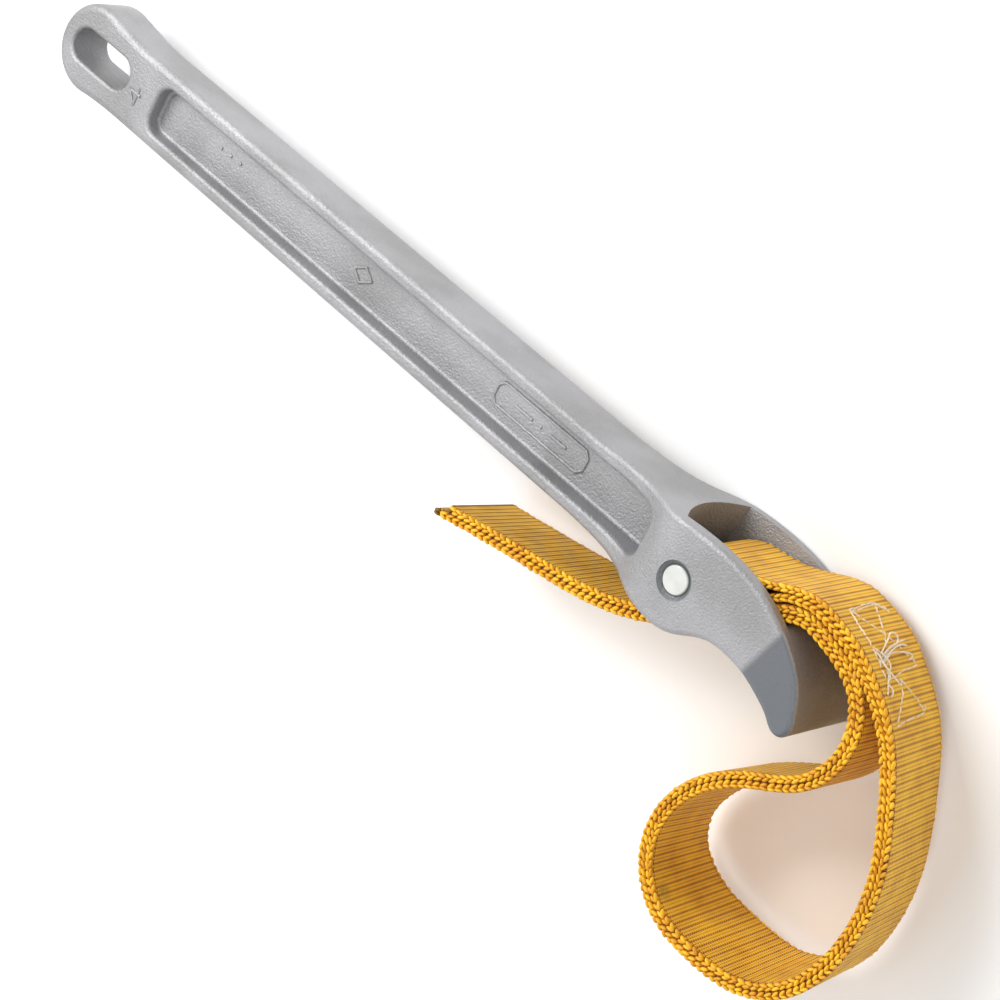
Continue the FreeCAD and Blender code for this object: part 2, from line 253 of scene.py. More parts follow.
castGrain = grainGroup()
wovenRows = weaveGroup()


def objectPosition(tree):
    return addNode(tree, "ShaderNodeTexCoord").outputs["Object"]


def placed(tree, group, **feed):
    node = tree.nodes.new("ShaderNodeGroup")
    node.node_tree = group
    for key, value in feed.items():
        label = key.replace("_", " ")
        if isinstance(value, bpy.types.NodeSocket):
            tree.links.new(value, node.inputs[label])
        else:
            node.inputs[label].default_value = value
    return node.outputs


def bumped(tree, shader, height, distance):
    node = addNode(tree, "ShaderNodeBump", {"Height": height, "Distance": distance, "Strength": 1.0})
    tree.links.new(node.outputs[0], shader.inputs["Normal"])


casting = {
    "light": sRgb(184, 184, 188),
    "dark": sRgb(150, 149, 149),
    "metal": 0.6,
    "roughness": (0.42, 0.54),
    "grainSize": 0.6,       # pebble of the sand mould
    "grainDepth": 0.24,
    "unevenness": 45.0,
    "flashWidth": 0.35,     # parting line round the edge
    "flashHeight": 0.12,
    "seatRadius": 5.25,     # shadowed ring round the pin
    "seatFade": 0.25,
    "seatTone": 0.55,
    "seatColour": sRgb(74, 82, 84),
    "hookFace": (16.6, 17.5),   # and only on the cheeks' outer faces
    "hookFrom": (28.2, 30.4),   # along X, where the ground face of the hook takes over
    "hookLean": -0.277,         # how far that edge leans in X for each step in Y
    "hookTone": sRgb(118, 121, 125),
}


def castMaterial():
    material, tree, shader = newMaterial("castAluminium")
    where = objectPosition(tree)
    grain = placed(tree, castGrain, Position=where, Grain_Size=casting["grainSize"],
                   Unevenness=casting["unevenness"])
    tone = fade(tree, grain["Drift"], 0.35, 0.65)
    fine = fade(tree, grain["Height"], 0.3, 0.9)
    share = calc(tree, "MULTIPLY_ADD", fine, 0.3, calc(tree, "MULTIPLY", tone, 0.4))
    colour = blendColour(tree, share, casting["dark"], casting["light"])
    fromPin = calcVector(tree, "SUBTRACT", where, tuple(pinCentre))
    x, y, z = addNode(tree, "ShaderNodeSeparateXYZ", {0: fromPin}).outputs
    aside = calc(tree, "ABSOLUTE", z)
    radius = calc(tree, "SQRT", calc(tree, "MULTIPLY_ADD", x, x, calc(tree, "MULTIPLY", y, y)))
    seatEnd = casting["seatRadius"]
    seat = fade(tree, radius, (seatEnd - casting["seatFade"]) * mm, seatEnd * mm, 1.0, 0.0)
    seat = calc(tree, "MULTIPLY", seat, casting["seatTone"])
    colour = blendColour(tree, seat, colour, casting["seatColour"])
    slant = calc(tree, "MULTIPLY_ADD", y, casting["hookLean"], x)
    hook = fade(tree, slant, *(edge * mm for edge in casting["hookFrom"]))
    cheek = fade(tree, aside, *(edge * mm for edge in casting["hookFace"]))
    hook = calc(tree, "MULTIPLY", hook, cheek)
    tree.links.new(blendColour(tree, hook, colour, casting["hookTone"]), shader.inputs["Base Color"])
    shader.inputs["Metallic"].default_value = casting["metal"]
    rough = fade(tree, grain["Height"], 0.2, 0.9, *casting["roughness"])
    tree.links.new(rough, shader.inputs["Roughness"])
    flashTop = casting["flashHeight"] / casting["grainDepth"]
    flash = fade(tree, aside, 0.0, casting["flashWidth"] * mm, flashTop, 0.0)
    pebbles = calc(tree, "MULTIPLY", grain["Height"], calc(tree, "MULTIPLY_ADD", hook, -0.6, 1.0))
    bumped(tree, shader, calc(tree, "ADD", pebbles, flash), casting["grainDepth"] * mm)
    return material


steel = {
    "colour": sRgb(222, 222, 218),
    "rimColour": sRgb(96, 104, 106),
    "face": (3.66, 3.82),      # radii between which the bright face gives way to the rim, whose darker colour is painted shade on the chamfer
    "metal": 0.35,
    "roughness": (0.3, 0.42),
    "turningPitch": 0.35,
    "turningDepth": 0.01,
    "grainSize": 0.5,
    "unevenness": 400.0,
}


def pinMaterial():
    material, tree, shader = newMaterial("pinSteel")
    where = calcVector(tree, "SUBTRACT", objectPosition(tree), tuple(pinCentre))
    flat = calcVector(tree, "MULTIPLY", where, (1.0, 1.0, 0.0))
    radius = addNode(tree, "ShaderNodeVectorMath", {0: flat}, operation="LENGTH").outputs["Value"]
    turns = 2 * math.pi / (steel["turningPitch"] * mm)
    rings = calc(tree, "SINE", calc(tree, "MULTIPLY", radius, turns))
    grain = placed(tree, castGrain, Position=where, Grain_Size=steel["grainSize"],
                   Unevenness=steel["unevenness"])
    # painted shade: the chamfer ring round the bright face is darkened in the colour
    rim = fade(tree, radius, *(r * mm for r in steel["face"]))
    colour = blendColour(tree, rim, steel["colour"], steel["rimColour"])
    tree.links.new(colour, shader.inputs["Base Color"])
    shader.inputs["Metallic"].default_value = steel["metal"]
    rough = fade(tree, grain["Drift"], 0.3, 0.7, *steel["roughness"])
    tree.links.new(rough, shader.inputs["Roughness"])
    relief = calc(tree, "MULTIPLY_ADD", grain["Height"], 1.5, rings)
    bumped(tree, shader, relief, steel["turningDepth"] * mm)
    return material


cloth = {
    "bright": sRgb(254, 200, 36),
    "middle": sRgb(222, 154, 20),
    "deep": sRgb(122, 72, 10),
    "sealed": sRgb(74, 44, 16),
    "soiled": sRgb(120, 110, 62),
    "roughness": 0.62,
    "yarnRoughness": 0.42,
    "sheen": 0.06,
    "sheenRoughness": 0.4,
    "rowPitch": 1.05,        # weft rows of the flat weave
    "beadPitch": 2.1,        # lumps of the selvedge
    "beadsFrom": 12.3,       # shadow under the lumps, from the middle
    "floatPitch": 0.8,
    "floatDepth": 0.24,
    "fuzzScale": 3600.0,     # noise cells a metre
    "fuzzDepth": 0.08,
    "grainSize": 0.35,
    "unevenness": 160.0,
    "smudge": (36.2, -70.3, 10.0),
    "smudgeReach": 3.2,
    "sealReach": 0.75,       # darkened by the hot cut, from each end
}
thread = {
    "light": sRgb(248, 238, 218),
    "dark": sRgb(214, 190, 150),
    "roughness": 0.6,
    "twistScale": 2500.0,    # noise cells a metre
    "twistDepth": 0.05,
}


def attribute(tree, name):
    return addNode(tree, "ShaderNodeAttribute", attribute_name=name).outputs["Fac"]


def webbingColour(tree, where, light):
    drift = placed(tree, castGrain, Position=where, Grain_Size=cloth["grainSize"],
                   Unevenness=cloth["unevenness"])
    share = calc(tree, "MULTIPLY_ADD", calc(tree, "SUBTRACT", drift["Drift"], 0.5), 0.7, light)
    body = blendColour(tree, fade(tree, share, 0.0, 0.45), cloth["deep"], cloth["middle"])
    body = blendColour(tree, fade(tree, share, 0.4, 1.0), body, cloth["bright"])
    away = addNode(tree, "ShaderNodeVectorMath", {0: where, 1: tuple(place(*cloth["smudge"]))},
                   operation="DISTANCE").outputs["Value"]
    smudgeEnd = cloth["smudgeReach"] * mm
    spot = fade(tree, away, 0.2 * smudgeEnd, smudgeEnd, 0.6, 0.0)
    spot = calc(tree, "MULTIPLY", spot, fade(tree, drift["Height"], 0.4, 0.8))
    body = blendColour(tree, spot, body, cloth["soiled"])
    sealEnd = cloth["sealReach"] * mm
    sealed = fade(tree, attribute(tree, "toEnd"), 0.3 * sealEnd, sealEnd, 0.85, 0.0)
    return blendColour(tree, sealed, body, cloth["sealed"])


def weaveMaterial():
    material, tree, shader = newMaterial("webbingWeave")
    where = objectPosition(tree)
    across = attribute(tree, "across")
    rows = placed(tree, wovenRows, Along=attribute(tree, "along"), Across=across,
                  Row_Pitch=cloth["rowPitch"] * mm, Float_Pitch=cloth["floatPitch"] * mm)
    # painted light and shade in the colour: raised floats lighter, grooves darker, and a painted shadow
    # along each edge under the beads
    raised = calc(tree, "MULTIPLY_ADD", rows["Height"], 0.25, 0.72)
    light = calc(tree, "MULTIPLY_ADD", rows["Shade"], -1.25, raised)
    edge = calc(tree, "ABSOLUTE", across)
    under = fade(tree, edge, (cloth["beadsFrom"] - 0.5) * mm, cloth["beadsFrom"] * mm)
    light = calc(tree, "MULTIPLY_ADD", under, -0.35, light)
    tree.links.new(webbingColour(tree, where, light), shader.inputs["Base Color"])
    shader.inputs["Roughness"].default_value = cloth["roughness"]
    shader.inputs["Sheen Weight"].default_value = cloth["sheen"]
    shader.inputs["Sheen Roughness"].default_value = cloth["sheenRoughness"]
    bumped(tree, shader, rows["Height"], cloth["floatDepth"] * mm)
    return material


def yarnMaterial():
    material, tree, shader = newMaterial("selvedgeYarn")
    where = objectPosition(tree)
    fuzz = addNode(tree, "ShaderNodeTexNoise", {
        "Vector": where, "Scale": cloth["fuzzScale"], "Detail": 2.0}).outputs[0]
    tone = attribute(tree, "beadTone")
    light = calc(tree, "MULTIPLY_ADD", fuzz, 0.7, calc(tree, "MULTIPLY_ADD", tone, 0.4, 0.15))
    tree.links.new(webbingColour(tree, where, light), shader.inputs["Base Color"])
    shader.inputs["Roughness"].default_value = cloth["yarnRoughness"]
    shader.inputs["Sheen Weight"].default_value = cloth["sheen"]
    shader.inputs["Sheen Roughness"].default_value = cloth["sheenRoughness"]
    bumped(tree, shader, fuzz, cloth["fuzzDepth"] * mm)
    return material


def threadMaterial():
    material, tree, shader = newMaterial("stitchThread")
    where = objectPosition(tree)
    twist = addNode(tree, "ShaderNodeTexNoise", {
        "Vector": where, "Scale": thread["twistScale"], "Detail": 2.0}).outputs[0]
    colour = blendColour(tree, fade(tree, twist, 0.35, 0.65), thread["dark"], thread["light"])
    tree.links.new(colour, shader.inputs["Base Color"])
    shader.inputs["Roughness"].default_value = thread["roughness"]
    bumped(tree, shader, twist, thread["twistDepth"] * mm)
    return material


castAluminium, pinSteel = castMaterial(), pinMaterial()
webbingWeave, selvedgeYarn, stitchThread = weaveMaterial(), yarnMaterial(), threadMaterial()
for name, material in (("handle_casting", castAluminium), ("anchor_pin", pinSteel)):
    slots = nodes[name].data.materials
    slots.clear()
    slots.append(material)
print("materials ready")


# Shared mesh tools

def newPiece(name, points, faces=(), edges=(), **attributes):
    mesh = bpy.data.meshes.new(name)
    mesh.from_pydata([tuple(p) for p in points], list(edges), list(faces))
    for label, values in attributes.items():
        values = np.asarray(values, np.float32)
        kind, field = ("FLOAT_VECTOR", "vector") if values.ndim == 2 else ("FLOAT", "value")
        mesh.attributes.new(label, kind, "POINT").data.foreach_set(field, values.ravel())
    piece = bpy.data.objects.new(name, mesh)
    bpy.context.collection.objects.link(piece)
    return piece


def growNodes(piece, tree, **values):
    modifier = piece.modifiers.new(tree.name, "NODES")
    modifier.node_group = tree
    for item in tree.interface.items_tree:
        if item.in_out == "INPUT" and item.name.replace(" ", "") in values:
            modifier[item.identifier] = values[item.name.replace(" ", "")]
    seen = bpy.context.evaluated_depsgraph_get()
    mesh = bpy.data.meshes.new_from_object(
        piece.evaluated_get(seen), preserve_all_data_layers=True, depsgraph=seen)
    piece.modifiers.remove(modifier)
    old, piece.data = piece.data, mesh
    bpy.data.meshes.remove(old)
    mesh.name = piece.name
    return piece


def lengthAlong(line):
    return np.concatenate([[0], np.cumsum(np.linalg.norm(np.diff(line[:, :2], axis=0), axis=1))])


def unit(vectors):
    return vectors / np.linalg.norm(vectors, axis=-1, keepdims=True)


def chained(first, last):
    return [(k, k + 1) for k in range(first, last - 1)]


def smoothLine(points, step):
    # natural cubic through the points, then even steps along it
    points = np.asarray(points, float)
    knots = lengthAlong(points)
    gap, count = np.diff(knots), len(points)
    system, right = np.eye(count), np.zeros_like(points)
    for i in range(1, count - 1):
        system[i, i - 1:i + 2] = gap[i - 1], 2 * (gap[i - 1] + gap[i]), gap[i]
        ahead, behind = (points[i + 1] - points[i]) / gap[i], (points[i] - points[i - 1]) / gap[i - 1]
        right[i] = 6 * (ahead - behind)
    bend = np.linalg.solve(system, right)

    def at(t):
        i = np.clip(np.searchsorted(knots, t) - 1, 0, count - 2)
        a, b, h = (knots[i + 1] - t)[:, None], (t - knots[i])[:, None], gap[i][:, None]
        curve = (bend[i] * a ** 3 + bend[i + 1] * b ** 3) / (6 * h)
        before, after = points[i] / h - bend[i] * h / 6, points[i + 1] / h - bend[i + 1] * h / 6
        return curve + before * a + after * b

    fine = np.linspace(0, knots[-1], 8 * int(knots[-1] / step))
    line = at(fine)
    run = lengthAlong(line)
    return at(np.interp(np.linspace(0, run[-1], int(run[-1] / step) + 1), run, fine))


# The webbing: one strip, folded round the pin, its two plies running side by side

strap = {
    "width": 27.0,
    "ply": 2.1,
    "plyGap": 0.12,
    "slope": 38.5,           # of the passage under the pin, degrees
    "passage": -8.77,        # from the pin's axis across to the returning strap
    "foldRadius": 5.27,
    "step": 0.2625,
    "softening": 13,         # steps over which bends are evened out, odd
    "ringPoints": 7,         # across one face of the ribbon
    "weaveHalf": 12.45,      # half width of the ribbed part
    "ribDepth": 0.16,
    "beadLength": 2.35,
    "beadThick": 1.0,
    "beadWide": 1.3,
    "beadSlant": 21.0,
    "beadSway": 0.22,        # radians either way
    "beadRow": 0.46,         # each row of beads from the ply's middle
    "seam": (60.0, -4.0),    # where the loop piece starts, and shortens towards
    "keep": 0.87,
    "blendRuns": (26.0, 3.0),    # along the passage, where the strap turns into the tail
    "shorterUpper": 13,      # steps by which the tail's upper ply ends before the lower
}
# near edge's x and y in mm, then how far the far edge leans from straight below it
outwardRoute = [
    (24.9, 14.5, 0, 0), (33.1, 17.0, 0, 0), (40.7, 16.1, 0, 0), (48.0, 14.1, 0, 0), (51.6, 12.4, -0.4, -0.2),
    (65.9, 2.0, -1.5, -0.7), (73.4, -8.9, -2.2, -1.0), (78.5, -18.4, -2.6, -1.2), (82.9, -30.5, -2.65, -1.2),
    (84.2, -42.2, -2.4, -0.6), (82.8, -54.5, -1.6, 1.0), (76.6, -67.2, -0.2, 2.6), (66.0, -74.6, 1.2, 3.8),
    (52.5, -76.6, 2.0, 4.3), (39.0, -74.4, 1.2, 3.0), (30.0, -66.8, 0.2, 0.2), (26.3, -55.0, -0.6, -2.6),
    (28.4, -44.6, -0.8, -3.5), (34.0, -36.0, -0.6, -3.0), (43.8, -28.2, -0.2, -1.8), (53.2, -21.2, 0, -0.8),
    (58.0, -12.0, 0, 0), (57.6, -1.2, 0, 0), (52.6, 6.6, 0, 0), (48.3, 9.2, 0, 0), (43.8, 10.7, 0, 0),
    (38.0, 11.95, 0, 0), (33.0, 12.4, 0, 0),
]
passageRoute = [(28.0, -0.3), (20.0, 0.0), (10.0, 0.0), (0.0, 0.0), (-8.0, 0.0)]
tailRoute = [
    (-16.6, -19.4, 0, 0), (-26.2, -21.9, 0, -0.8), (-36.2, -23.7, 0, -1.4), (-46.4, -25.5, 0, -1.6),
    (-56.6, -27.4, 0.8, -1.4), (-67.2, -29.6, 2.0, -0.8), (-70.6, -30.3, 2.4, -0.6),
]
foldRoute = [
    (28.1, -1.0), (20.0, -1.0), (12.0, -1.0), (5.0, -1.0), (0.06, -1.0), (-0.68, -0.74), (-1.0, 0.05),
    (-0.62, 0.84), (0.1, 1.16), (6.5, 1.1), (13.5, 0.42), (20.5, -0.19), (28.1, -0.583),
]


def alongPassage(run, across):
    slope = math.radians(strap["slope"])
    return (run * math.cos(slope) - across * math.sin(slope),
            run * math.sin(slope) + across * math.cos(slope))


def foldPoint(run, across):
    # in the fold itself both numbers are shares of its radius, on the legs only the second is
    radius = strap["foldRadius"]
    return (*alongPassage(run * radius if abs(run) <= 1 else run, across * radius), 0, 0)


def layStrip():
    step = strap["step"]
    inside = [(*alongPassage(run, strap["passage"] + drop), 0, 0) for run, drop in passageRoute]
    middle = smoothLine(outwardRoute + inside + tailRoute, step)
    run = unit(np.gradient(middle[:, :2], axis=0))
    left = np.stack([-run[:, 1], run[:, 0]], axis=1)
    off = (strap["ply"] + strap["plyGap"]) / 2
    outer, inner = middle.copy(), middle.copy()
    outer[:, :2] += left * off
    inner[:, :2] -= left * off
    fold = smoothLine([foldPoint(*p) for p in foldRoute], step)
    strip = np.concatenate([inner[::-1], fold, outer])
    kernel = np.hanning(strap["softening"])
    kernel /= kernel.sum()
    margin = strap["softening"] // 2
    padded = np.pad(strip, ((margin, margin), (0, 0)), mode="reflect", reflect_type="odd")
    strip = np.stack([np.convolve(padded[:, c], kernel, "valid") for c in range(4)], axis=1)
    # where the doubled strap crosses the seam's height, going out and coming back
    above = middle[:, 1] > strap["seam"][1]
    crossings = [i for i in range(1, len(middle)) if above[i] != above[i - 1]][:2]
    return strip, len(middle), len(fold), crossings


strip, pairCount, foldCount, (seamOut, seamBack) = layStrip()
stripRun = lengthAlong(strip)
nearEdge = np.column_stack([strip[:, :2], np.full(len(strip), strap["width"] / 2)])
farEdge = np.column_stack([strip[:, :2] + strip[:, 2:], np.full(len(strip), -strap["width"] / 2)])
acrossWay = unit(farEdge - nearEdge)
runWay = unit(np.gradient(nearEdge + farEdge, axis=0))
faceWay = unit(np.cross(runWay, acrossWay))
stripMiddle = (nearEdge + farEdge) / 2
toEnd = np.minimum(stripRun - stripRun[strap["shorterUpper"]], stripRun[-1] - stripRun)
secondStart = pairCount + foldCount
webbingSpans = {
    "Start": [(pairCount - 1 - seamOut, secondStart + seamOut)],
    "Loop": [(pairCount - 1 - seamBack, pairCount - 1 - seamOut),
             (secondStart + seamOut, secondStart + seamBack)],
    "Tail": [(strap["shorterUpper"], pairCount - 1 - seamBack), (secondStart + seamBack, len(strip) - 1)],
}
print("strip laid,", round(stripRun[-1]), "mm long")


def toMetres(points):
    return np.asarray(points) * mm + np.array(pinCentre)


def weaveRibbon(name, spans):
    half, thick, count = strap["weaveHalf"], strap["ply"] / 2, strap["ringPoints"]
    ring = [(a, 1) for a in np.linspace(-half, half, count)]
    ring += [(a, -1) for a in np.linspace(half, -half, count)]
    points, faces, along, across, push, ends = [], [], [], [], [], []
    for first, last in spans:
        base = len(points)
        for i in range(first, last + 1):
            for a, side in ring:
                points.append(stripMiddle[i] + acrossWay[i] * a + faceWay[i] * thick * side)
                push.append(faceWay[i] * side)
                along.append(stripRun[i] * mm)
                across.append(a * mm)
                ends.append(toEnd[i] * mm)
        size = len(ring)
        for i in range(last - first):
            for k in range(size):
                a, b = base + i * size + k, base + i * size + (k + 1) % size
                faces.append((a, a + size, b + size, b))
        end = base + (last - first) * size
        faces.append(tuple(range(base, base + size)))
        faces.append(tuple(range(end + size - 1, end - 1, -1)))
    return newPiece(name, toMetres(points), faces, push=push, along=along, across=across, toEnd=ends)


def selvedgeGuides(name, spans):
    # two rows of beads on each edge, set half a bead apart
    points, edges, slant, side, run, ends = [], [], [], [], [], []
    inset = strap["width"] / 2 - strap["beadWide"] / 2
    halfStep = int(cloth["beadPitch"] / strap["step"] / 2)
    for first, last in spans:
        for edge in (-1, 1):
            for row in (-1, 1):
                start = first + (halfStep if row > 0 else 0)
                base = len(points)
                for i in range(start, last + 1):
                    points.append(stripMiddle[i] + acrossWay[i] * edge * inset
                                  + faceWay[i] * row * strap["beadRow"])
                    slant.append(row)
                    side.append(acrossWay[i])
                    run.append(stripRun[i] * mm)
                    ends.append(toEnd[i] * mm)
                edges += chained(base, len(points))
    return newPiece(name, toMetres(points), (), edges, slant=slant, side=side, along=run, toEnd=ends)


def stored(tree, name, kind):
    return addNode(tree, "GeometryNodeInputNamedAttribute", {"Name": name}, data_type=kind).outputs[0]


def ribTree():
    tree, given, result = newTree("GeometryNodeTree", "webbingRibs", {
        "Geometry": ("NodeSocketGeometry", None), "Rib Pitch": ("NodeSocketFloat", 0.0021),
        "Rib Depth": ("NodeSocketFloat", 0.0002), "Finish": ("NodeSocketMaterial", None),
    }, {"Geometry": ("NodeSocketGeometry", None)})
    along, push = stored(tree, "along", "FLOAT"), stored(tree, "push", "FLOAT_VECTOR")
    turn = calc(tree, "MULTIPLY", calc(tree, "DIVIDE", along, given["Rib Pitch"]), math.pi)
    ridge = calc(tree, "POWER", calc(tree, "ABSOLUTE", calc(tree, "SINE", turn)), 0.55)
    sink = calc(tree, "MULTIPLY", calc(tree, "SUBTRACT", ridge, 1.0), given["Rib Depth"])
    moved = addNode(tree, "GeometryNodeSetPosition", {
        "Geometry": given["Geometry"], "Offset": scaled(tree, push, sink)}).outputs[0]
    whole = addNode(tree, "GeometryNodeRealizeInstances", {"Geometry": moved}).outputs[0]
    done = addNode(tree, "GeometryNodeSetMaterial", {"Geometry": whole, "Material": given["Finish"]})
    tree.links.new(done.outputs[0], result["Geometry"])
    return tree


def beadTree():
    tree, given, result = newTree("GeometryNodeTree", "selvedgeBraid", {
        "Geometry": ("NodeSocketGeometry", None), "Bead Pitch": ("NodeSocketFloat", 0.0021),
        "Bead Size": ("NodeSocketVector", (0.0012, 0.0005, 0.0006)), "Slant": ("NodeSocketFloat", 0.5),
        "Seed": ("NodeSocketInt", 3), "Finish": ("NodeSocketMaterial", None),
    }, {"Geometry": ("NodeSocketGeometry", None)})
    line = addNode(tree, "GeometryNodeMeshToCurve", {"Mesh": given["Geometry"]}).outputs[0]
    spaced = addNode(tree, "GeometryNodeResampleCurve", {
        "Curve": line, "Length": given["Bead Pitch"]}, mode="LENGTH")
    side, slant = stored(tree, "side", "FLOAT_VECTOR"), stored(tree, "slant", "FLOAT")
    tangent = addNode(tree, "GeometryNodeInputTangent").outputs[0]
    lined = addNode(tree, "FunctionNodeAlignRotationToVector", {"Vector": tangent}, axis="X").outputs[0]
    squared = addNode(tree, "FunctionNodeAlignRotationToVector", {"Rotation": lined, "Vector": side},
                      axis="Z", pivot_axis="X").outputs[0]
    sway = addNode(tree, "FunctionNodeRandomValue", {
        2: -strap["beadSway"], 3: strap["beadSway"], "Seed": 5}, data_type="FLOAT").outputs[1]
    lean = calc(tree, "MULTIPLY_ADD", slant, given["Slant"], sway)
    tip = addNode(tree, "FunctionNodeAxisAngleToRotation", {
        "Axis": (0.0, 0.0, 1.0), "Angle": lean}).outputs[0]
    turned = addNode(tree, "FunctionNodeRotateRotation", {"Rotation": squared, "Rotate By": tip},
                     rotation_space="LOCAL").outputs[0]
    ball = addNode(tree, "GeometryNodeMeshUVSphere", {"Segments": 8, "Rings": 6, "Radius": 1.0}).outputs[0]
    vary = addNode(tree, "FunctionNodeRandomValue", {
        0: (0.84, 0.84, 0.9), 1: (1.14, 1.12, 1.04), "Seed": given["Seed"]}, data_type="FLOAT_VECTOR")
    size = calcVector(tree, "MULTIPLY", given["Bead Size"], vary.outputs[0])
    beads = addNode(tree, "GeometryNodeInstanceOnPoints", {
        "Points": spaced.outputs[0], "Instance": ball, "Rotation": turned, "Scale": size}).outputs[0]
    tone = addNode(tree, "FunctionNodeRandomValue", {"Seed": given["Seed"]}, data_type="FLOAT").outputs[1]
    toned = addNode(tree, "GeometryNodeStoreNamedAttribute", {
        "Geometry": beads, "Name": "beadTone", "Value": tone,
    }, data_type="FLOAT", domain="INSTANCE").outputs[0]
    whole = addNode(tree, "GeometryNodeRealizeInstances", {"Geometry": toned}).outputs[0]
    smooth = addNode(tree, "GeometryNodeSetShadeSmooth", {"Geometry": whole}).outputs[0]
    done = addNode(tree, "GeometryNodeSetMaterial", {"Geometry": smooth, "Material": given["Finish"]})
    tree.links.new(done.outputs[0], result["Geometry"])
    return tree


webbingRibs, selvedgeBraid = ribTree(), beadTree()


def buildWebbing():
    pieces = {}
    beadSize = tuple(strap[key] / 2 * mm for key in ("beadLength", "beadThick", "beadWide"))
    for part, spans in webbingSpans.items():
        ribbon = weaveRibbon("webbing" + part, spans)
        growNodes(ribbon, webbingRibs, RibPitch=2 * cloth["rowPitch"] * mm,
                  RibDepth=strap["ribDepth"] * mm, Finish=webbingWeave)
        ribbon.data.shade_smooth()
        ribbon.data.set_sharp_from_angle(angle=math.radians(55))
        edge = selvedgeGuides("selvedge" + part, spans)
        growNodes(edge, selvedgeBraid, BeadPitch=cloth["beadPitch"] * mm, BeadSize=beadSize,
                  Slant=math.radians(strap["beadSlant"]), Seed=3, Finish=selvedgeYarn)
        length = sum(stripRun[last] - stripRun[first] for first, last in spans)
        pieces[part] = (ribbon, edge, length)
        print("webbing", part.lower(), round(length), "mm,",
              len(ribbon.data.polygons), len(edge.data.polygons))
    return pieces


webbing = buildWebbing()


def rideWebbing():
    start, startEdge, startLength = webbing["Start"]
    loop, loopEdge, loopLength = webbing["Loop"]
    tail, tailEdge, tailLength = webbing["Tail"]
    for piece in (start, startEdge, loop, loopEdge):
        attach(piece, "strap_loop")
    for piece in (loop, loopEdge):
        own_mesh(piece)
    for piece in (tail, tailEdge):
        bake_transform(piece)
    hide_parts("strap_fold")
    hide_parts("loop_outer_ply", "loop_inner_ply")
    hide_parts("tail_lower_ply", "tail_upper_ply")


rideWebbing()
print("webbing rides its bodies")


# Box stitch, its loose ends, and the raised marks of the casting

sewing = {
    "thread": 0.19,          # radius
    "stitch": 2.2,
    "gap": 0.55,
    "proud": 0.16,
    "seed": 11,
    "drift": 0.12,
    "pathStep": 0.1,
    # runs of stitches: distance from where the legs close, then across from the middle
    "runs": [
        [(13.3, -6.2), (12.6, 5.6)], [(13.9, -6.0), (13.2, 5.9)], [(12.6, 5.6), (14.4, 8.2), (16.8, 9.2)],
        [(13.3, 6.0), (15.6, 8.6)], [(13.3, -6.2), (17.2, -7.2), (25.0, -8.3), (32.3, -8.5)],
        [(14.5, -6.8), (20.0, -7.9)], [(32.3, -8.0), (30.2, 8.4)], [(14.2, -5.6), (22.0, 0.2), (30.0, 8.0)],
        [(13.8, 5.4), (21.0, 0.4), (31.6, -7.6)], [(32.8, -1.6), (36.5, 1.0), (41.2, 5.4)],
        [(32.6, -1.9), (36.2, -3.5), (42.4, -9.6)], [(42.8, -10.0), (41.4, 5.2)], [(41.4, 5.2), (39.8, 6.4)],
    ],
    # loose thread: the same two and the height above the webbing
    "loose": [
        [(26.5, -7.6, 0.2), (24.8, -4.6, 0.7), (23.2, -1.4, 1.0), (22.0, 1.0, 1.2), (22.5, 3.2, 1.0),
         (24.0, 2.6, 0.8), (24.8, 0.4, 0.7), (25.6, -3.0, 0.5), (27.6, -6.8, 0.2)],
        [(27.0, -7.4, 0.2), (25.2, -3.0, 0.8), (24.4, 2.0, 1.0), (24.0, 6.2, 0.5)],
        [(27.8, -7.2, 0.3), (25.8, -2.0, 0.9), (25.1, 2.2, 1.2), (25.4, 5.6, 0.7)],
        [(28.4, -7.4, 0.2), (26.4, -2.2, 0.6), (26.8, 3.0, 0.8), (27.9, 7.2, 0.3), (28.9, 5.0, 0.2)],
        [(24.0, -8.2, 0.2), (26.6, -6.4, 0.9), (29.2, -5.8, 1.0), (31.8, -7.8, 0.3), (35.4, -10.6, 0.2)],
        [(27.0, -8.4, 0.3), (30.0, -7.2, 0.8), (34.4, -5.0, 1.3)],
        [(25.0, -7.8, 0.2), (28.4, -7.6, 0.7), (31.0, -6.8, 0.6), (32.6, -8.2, 0.2)],
        [(33.0, -8.6, 0.2), (35.0, -8.2, 0.5), (36.2, -9.6, 0.2)],
    ],
}
marks = {
    "radius": 0.45,
    "step": 0.4,
    "eyeFace": 7.3,
    "recessFloor": 2.9,
    # each line: the face it stands on, then points from the pin's axis
    "lines": [
        ("eyeFace", [(-219.0, 0.4), (-223.4, 0.4), (-220.2, -2.8), (-220.2, 2.0)]),
        ("recessFloor", [(-190.0, 2.6), (-189.2, 2.6)]), ("recessFloor", [(-186.0, 2.6), (-185.2, 2.6)]),
        ("recessFloor", [(-182.0, 2.6), (-181.2, 2.6)]),
        ("recessFloor", [(-133.5, 1.2), (-130.0, 3.6), (-126.5, 1.2), (-130.0, -1.2), (-133.5, 1.2)]),
        ("recessFloor", [(-76.0, 4.4), (-46.0, 4.4), (-44.4, 2.8), (-44.4, -0.6), (-46.0, -2.2),
                         (-76.0, -2.2), (-77.6, -0.6), (-77.6, 2.8), (-76.0, 4.4)]),
        ("recessFloor", [(-70.0, 1.1), (-64.0, 1.1)]), ("recessFloor", [(-61.0, 1.1), (-60.6, 1.1)]),
        ("recessFloor", [(-57.6, 1.1), (-51.6, 1.1)]),
    ],
}


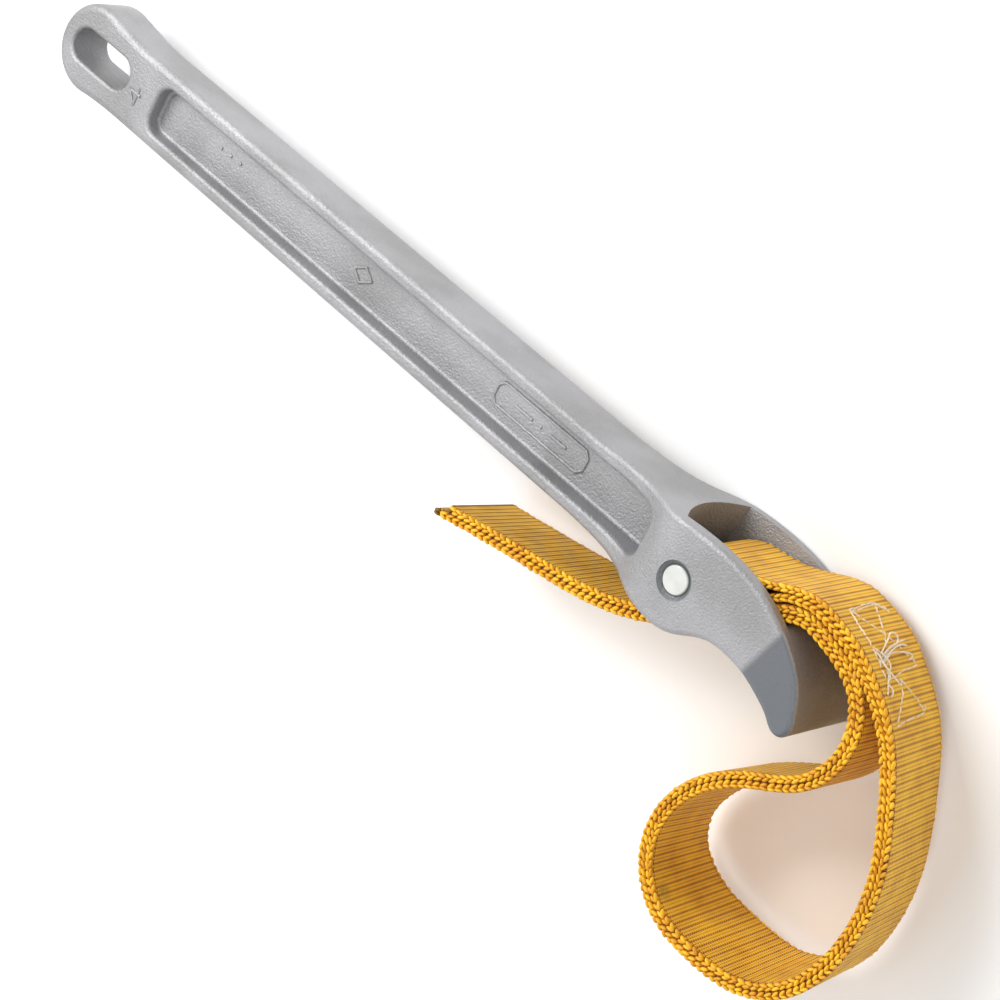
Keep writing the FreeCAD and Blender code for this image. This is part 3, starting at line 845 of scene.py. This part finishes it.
def threadTree():
    tree, given, result = newTree("GeometryNodeTree", "roundThread", {
        "Geometry": ("NodeSocketGeometry", None), "Thread Radius": ("NodeSocketFloat", 0.0002),
        "Finish": ("NodeSocketMaterial", None),
    }, {"Geometry": ("NodeSocketGeometry", None)})
    line = addNode(tree, "GeometryNodeMeshToCurve", {"Mesh": given["Geometry"]}).outputs[0]
    ring = addNode(tree, "GeometryNodeCurvePrimitiveCircle", {
        "Resolution": 8, "Radius": given["Thread Radius"]}).outputs[0]
    tube = addNode(tree, "GeometryNodeCurveToMesh", {
        "Curve": line, "Profile Curve": ring, "Fill Caps": True}).outputs[0]
    whole = addNode(tree, "GeometryNodeRealizeInstances", {"Geometry": tube}).outputs[0]
    smooth = addNode(tree, "GeometryNodeSetShadeSmooth", {"Geometry": whole}).outputs[0]
    done = addNode(tree, "GeometryNodeSetMaterial", {"Geometry": smooth, "Material": given["Finish"]})
    tree.links.new(done.outputs[0], result["Geometry"])
    return tree


roundThread = threadTree()


def linePiece(name, lines, radius, material):
    points, edges = [], []
    for line in lines:
        base = len(points)
        points += list(toMetres(line))
        edges += chained(base, len(points))
    piece = newPiece(name, points, (), edges)
    return growNodes(piece, roundThread, ThreadRadius=radius * mm, Finish=material)


def onStrap(run, across, lift):
    # a point above the sewn ply's outer face
    at = secondStart + run / strap["step"]
    i, share = int(at), at - int(at)
    middle = stripMiddle[i] * (1 - share) + stripMiddle[i + 1] * share
    return middle + acrossWay[i] * across + faceWay[i] * (strap["ply"] / 2 + lift)


def evenly(points, step):
    # even steps along straight runs between the points
    points = np.asarray(points, float)
    run = lengthAlong(points)
    spots = np.linspace(0, run[-1], max(2, int(run[-1] / step) + 1))
    return np.stack([np.interp(spots, run, points[:, c]) for c in range(points.shape[1])], axis=1)


def roundedThrough(knots):
    # Catmull-Rom through the knots
    ends = np.concatenate([[2 * knots[0] - knots[1]], knots, [2 * knots[-1] - knots[-2]]])
    line = []
    for a, b, c, d in zip(ends, ends[1:], ends[2:], ends[3:]):
        for t in np.linspace(0, 1, 8, endpoint=False):
            line.append(0.5 * (2 * b + (c - a) * t + (2 * a - 5 * b + 4 * c - d) * t ** 2
                               + (3 * b - a - 3 * c + d) * t ** 3))
    return line + [knots[-1]]


def buildStitches():
    chance = np.random.default_rng(sewing["seed"])
    lines, pitch = [], sewing["stitch"] + sewing["gap"]
    for run in sewing["runs"]:
        path = evenly(run, sewing["pathStep"])
        count = max(1, round(len(path) * sewing["pathStep"] / pitch))
        for k in range(count):
            first = int(k * len(path) / count)
            last = int((k + sewing["stitch"] / pitch) * len(path) / count)
            drift, share = chance.normal(0, sewing["drift"], 2), np.linspace(0, 1, 7)
            ids = np.linspace(first, last, 7).astype(int)
            lift = sewing["proud"] * (1.6 * np.sin(math.pi * share) ** 0.6 - 0.9)
            lines.append([onStrap(*(path[i] + drift), h) for i, h in zip(ids, lift)])
    for run in sewing["loose"]:
        lines.append([onStrap(*p) for p in roundedThrough(np.asarray(run, float))])
    stitches = linePiece("boxStitch", lines, sewing["thread"], stitchThread)
    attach(stitches, "strap_loop")
    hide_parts("box_stitching")
    print("box stitch,", len(lines), "runs,", len(stitches.data.polygons), "faces")


def buildMarks():
    lines = []
    for face, points in marks["lines"]:
        lines.append([(x, y, marks[face]) for x, y in evenly(points, marks["step"])])
    raised = linePiece("castMarks", lines, marks["radius"], castAluminium)
    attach(raised, "wrench")


buildStitches()
buildMarks()
